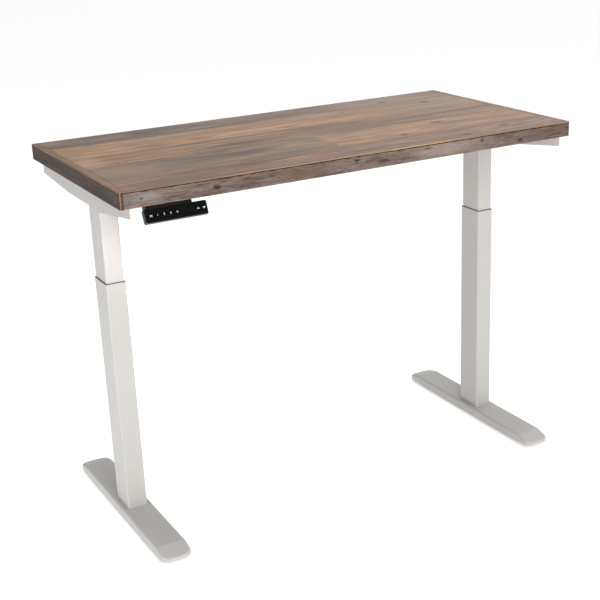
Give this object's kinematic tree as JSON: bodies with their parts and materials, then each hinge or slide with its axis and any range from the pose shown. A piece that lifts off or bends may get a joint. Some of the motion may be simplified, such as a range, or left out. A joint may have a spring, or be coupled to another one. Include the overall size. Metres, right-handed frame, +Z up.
{
  "type": "height adjustable standing desk",
  "caption": "Standing desk: plank worktop on telescopic steel columns with long flat feet, geared motors, lifting screws, control box and a keypad under the front edge.",
  "frame": {"origin": "on the floor, under the middle of the worktop", "axes": "+X to the user's right along the worktop, +Y away from the user, +Z up"},
  "size_m": [1.2192, 0.6096, 0.912],
  "materials": {
    "reclaimed_wood": "planed and sanded old softwood under a satin varnish, rough-sawn at the front",
    "powder_coat": "light warm grey powder coat, satin, fine orange peel",
    "zinc_steel": "bright zinc-plated steel",
    "guide_plastic": "black acetal",
    "cast_aluminium": "die cast, as cast",
    "motor_steel": "black painted motor can",
    "gear_plastic": "natural nylon",
    "nut_brass": "machined",
    "leveler_plastic": "moulded nylon",
    "black_abs": "fine moulded texture",
    "gloss_abs": "polished black",
    "key_plastic": "satin black with pale printed legends",
    "smoked_window": "smoked acrylic, unlit",
    "circuit_board": "green solder mask"
  },
  "bodies": {
    "left_base": {"foot_left": "powder_coat", "lower_tube_left": "powder_coat", "guide_bush_left": "guide_plastic", "nut_tube_left": "zinc_steel", "spindle_nut_left": "nut_brass", "foot_bolts_left": "zinc_steel"},
    "top": {"top_board_back": "reclaimed_wood", "top_board_second": "reclaimed_wood", "top_board_middle": "reclaimed_wood", "top_board_fourth_left": "reclaimed_wood", "top_board_fourth_right": "reclaimed_wood", "top_board_front": "reclaimed_wood", "end_strip_left": "reclaimed_wood", "end_strip_right": "reclaimed_wood", "wood_screws": "zinc_steel", "frame_bolts": "zinc_steel", "crossbar_front": "powder_coat", "crossbar_back": "powder_coat", "side_bracket_left": "powder_coat", "rail_frame_left": "powder_coat", "column_head_left": "powder_coat", "upper_tube_left": "powder_coat", "slide_pads_left": "guide_plastic", "gearbox_left": "cast_aluminium", "motor_left": "motor_steel", "side_bracket_right": "powder_coat", "rail_frame_right": "powder_coat", "column_head_right": "powder_coat", "upper_tube_right": "powder_coat", "slide_pads_right": "guide_plastic", "gearbox_right": "cast_aluminium", "motor_right": "motor_steel", "control_case": "black_abs", "control_lid": "black_abs", "control_board": "circuit_board", "keypad_housing": "black_abs", "keypad_bezel": "gloss_abs", "keypad_display": "smoked_window", "keypad_board": "circuit_board"},
    "right_base": {"foot_right": "powder_coat", "lower_tube_right": "powder_coat", "guide_bush_right": "guide_plastic", "nut_tube_right": "zinc_steel", "spindle_nut_right": "nut_brass", "foot_bolts_right": "zinc_steel"},
    "left_spindle": {"spindle_left": "zinc_steel", "worm_wheel_left": "gear_plastic"},
    "right_spindle": {"spindle_right": "zinc_steel", "worm_wheel_right": "gear_plastic"},
    "leveler_front_left_body": {"leveler_front_left": "leveler_plastic"},
    "leveler_back_left_body": {"leveler_back_left": "leveler_plastic"},
    "leveler_front_right_body": {"leveler_front_right": "leveler_plastic"},
    "leveler_back_right_body": {"leveler_back_right": "leveler_plastic"},
    "key_memory_body": {"key_memory": "key_plastic"},
    "key_one_body": {"key_one": "key_plastic"},
    "key_two_body": {"key_two": "key_plastic"},
    "key_three_body": {"key_three": "key_plastic"},
    "key_four_body": {"key_four": "key_plastic"},
    "key_up_body": {"key_up": "key_plastic"},
    "key_down_body": {"key_down": "key_plastic"}
  },
  "joints": [
    {"name": "lift", "type": "slide", "parent": "left_base", "child": "top", "axis": [0, 0, 1], "range_m": [-0.18, 0.29]},
    {"name": "right_lift", "type": "slide", "parent": "top", "child": "right_base", "axis": [0, 0, -1], "range_m": [-0.18, 0.29]},
    {"name": "left_spindle_turn", "type": "hinge", "parent": "top", "child": "left_spindle", "pos_m": [-0.5437, 0, 0.83], "axis": [0, 0, 1], "range_deg": [-6481, 10441]},
    {"name": "right_spindle_turn", "type": "hinge", "parent": "top", "child": "right_spindle", "pos_m": [0.5437, 0, 0.83], "axis": [0, 0, 1], "range_deg": [-6481, 10441]},
    {"name": "leveler_front_left_height", "type": "slide", "parent": "left_base", "child": "leveler_front_left_body", "axis": [0, 0, -1], "range_m": [0, 0.01]},
    {"name": "leveler_back_left_height", "type": "slide", "parent": "left_base", "child": "leveler_back_left_body", "axis": [0, 0, -1], "range_m": [0, 0.01]},
    {"name": "leveler_front_right_height", "type": "slide", "parent": "right_base", "child": "leveler_front_right_body", "axis": [0, 0, -1], "range_m": [0, 0.01]},
    {"name": "leveler_back_right_height", "type": "slide", "parent": "right_base", "child": "leveler_back_right_body", "axis": [0, 0, -1], "range_m": [0, 0.01]},
    {"name": "key_memory_press", "type": "slide", "parent": "top", "child": "key_memory_body", "axis": [0, 0.9259, -0.3778], "range_m": [0, 0.0008], "stiffness_N_per_m": 2500, "springref_m": -0.0004},
    {"name": "key_one_press", "type": "slide", "parent": "top", "child": "key_one_body", "axis": [0, 0.9259, -0.3778], "range_m": [0, 0.0008], "stiffness_N_per_m": 2500, "springref_m": -0.0004},
    {"name": "key_two_press", "type": "slide", "parent": "top", "child": "key_two_body", "axis": [0, 0.9259, -0.3778], "range_m": [0, 0.0008], "stiffness_N_per_m": 2500, "springref_m": -0.0004},
    {"name": "key_three_press", "type": "slide", "parent": "top", "child": "key_three_body", "axis": [0, 0.9259, -0.3778], "range_m": [0, 0.0008], "stiffness_N_per_m": 2500, "springref_m": -0.0004},
    {"name": "key_four_press", "type": "slide", "parent": "top", "child": "key_four_body", "axis": [0, 0.9259, -0.3778], "range_m": [0, 0.0008], "stiffness_N_per_m": 2500, "springref_m": -0.0004},
    {"name": "key_up_press", "type": "slide", "parent": "top", "child": "key_up_body", "axis": [0, 0.9259, -0.3778], "range_m": [0, 0.0008], "stiffness_N_per_m": 2500, "springref_m": -0.0004},
    {"name": "key_down_press", "type": "slide", "parent": "top", "child": "key_down_body", "axis": [0, 0.9259, -0.3778], "range_m": [0, 0.0008], "stiffness_N_per_m": 2500, "springref_m": -0.0004}
  ],
  "couplings": [
    {"joint": "right_lift", "follows": "lift", "ratio": 1},
    {"joint": "left_spindle_turn", "follows": "lift", "rad_per_m": 628.32},
    {"joint": "right_spindle_turn", "follows": "lift", "rad_per_m": 628.32}
  ]
}
